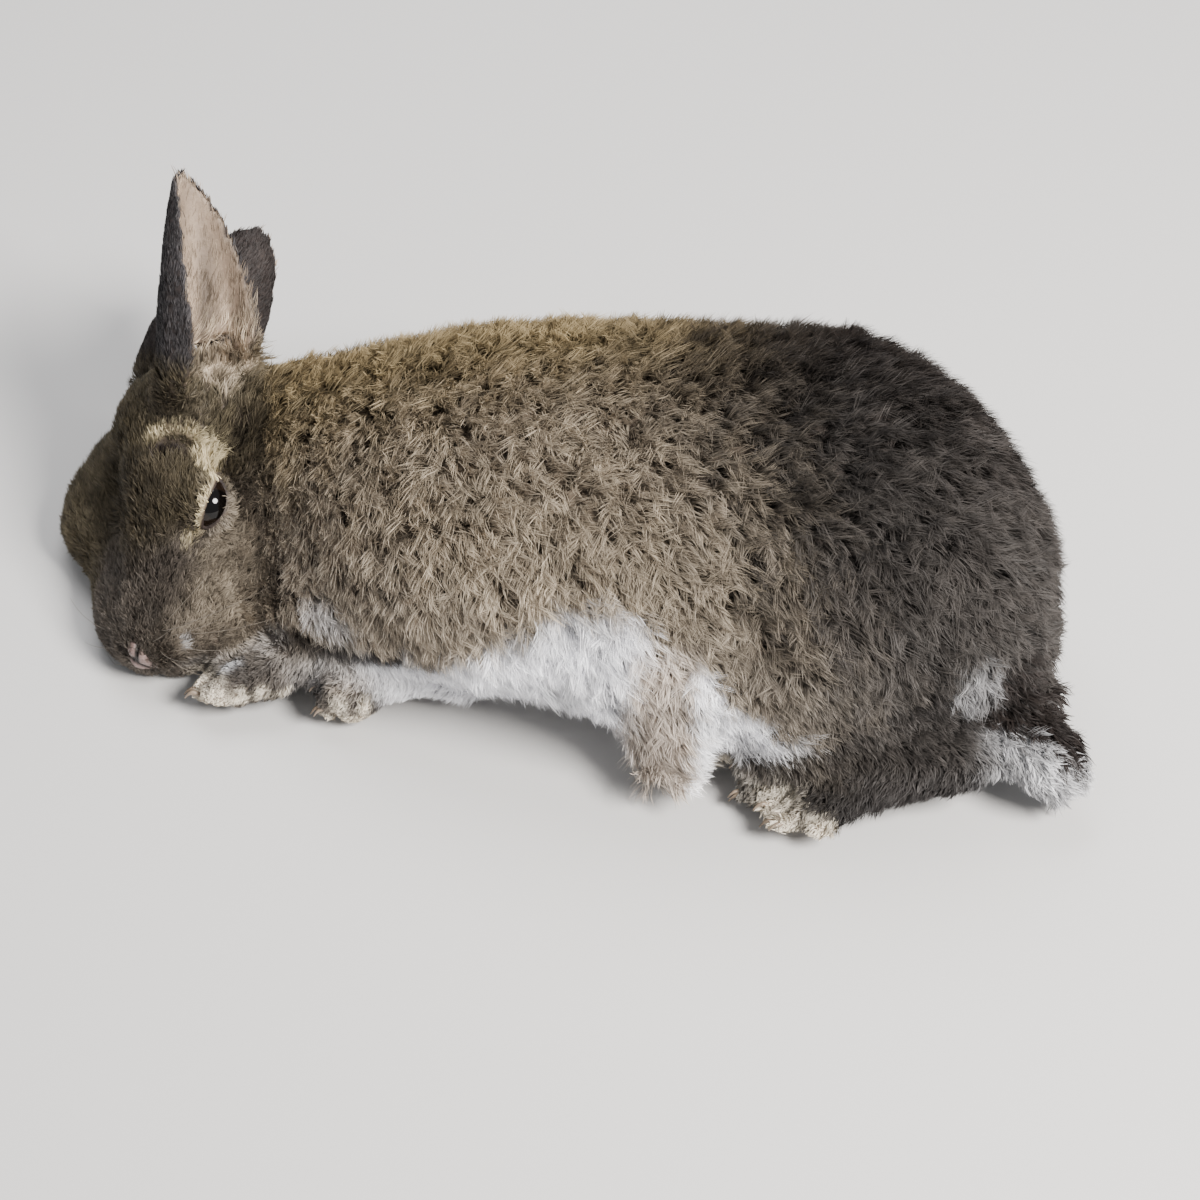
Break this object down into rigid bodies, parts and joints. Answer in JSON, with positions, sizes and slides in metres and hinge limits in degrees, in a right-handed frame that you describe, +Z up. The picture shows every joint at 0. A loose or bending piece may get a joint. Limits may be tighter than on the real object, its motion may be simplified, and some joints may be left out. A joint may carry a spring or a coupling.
{
  "type": "rabbit, small brown agouti, lying on its flank",
  "caption": "life-size still rabbit with brown ticked coat and white belly, half rolled onto its right flank, head turned to its left, ears up",
  "frame": {"origin": "centre of mount rest, on the flat of the right flank where the trunk rests on the floor", "axes": "+X toward the rump, +Y toward the back, away from the belly and feet, +Z up"},
  "size_m": [0.3119, 0.2046, 0.1131],
  "materials": {
    "coat": "soft fur in short wavy clumps, golden brown with dark bases and pale tips, white below",
    "face_coat": "short grey-brown fur, paler round the eyes and on the muzzle",
    "leg_coat": "short fur, brown above with cream toes",
    "white_coat": "longer soft white fur, dark along the upper side",
    "ear_skin": "thin skin with very short dark grey fur outside, pinkish tan inside",
    "eye": "wet, near-black brown",
    "nose_skin": "matte, finely furred, greyish pink"
  },
  "bodies": {
    "root": {"trunk": "coat", "neck": "coat", "thigh_left": "coat", "head": "face_coat", "shank_left": "leg_coat", "foot_left": "leg_coat", "shank_right": "leg_coat", "foot_right": "leg_coat", "forearm_left": "leg_coat", "paw_left": "leg_coat", "forearm_right": "leg_coat", "paw_right": "leg_coat", "tail": "white_coat", "ear_left": "ear_skin", "ear_right": "ear_skin", "eye_left": "eye", "eye_right": "eye", "nose": "nose_skin"}
  },
  "joints": []
}
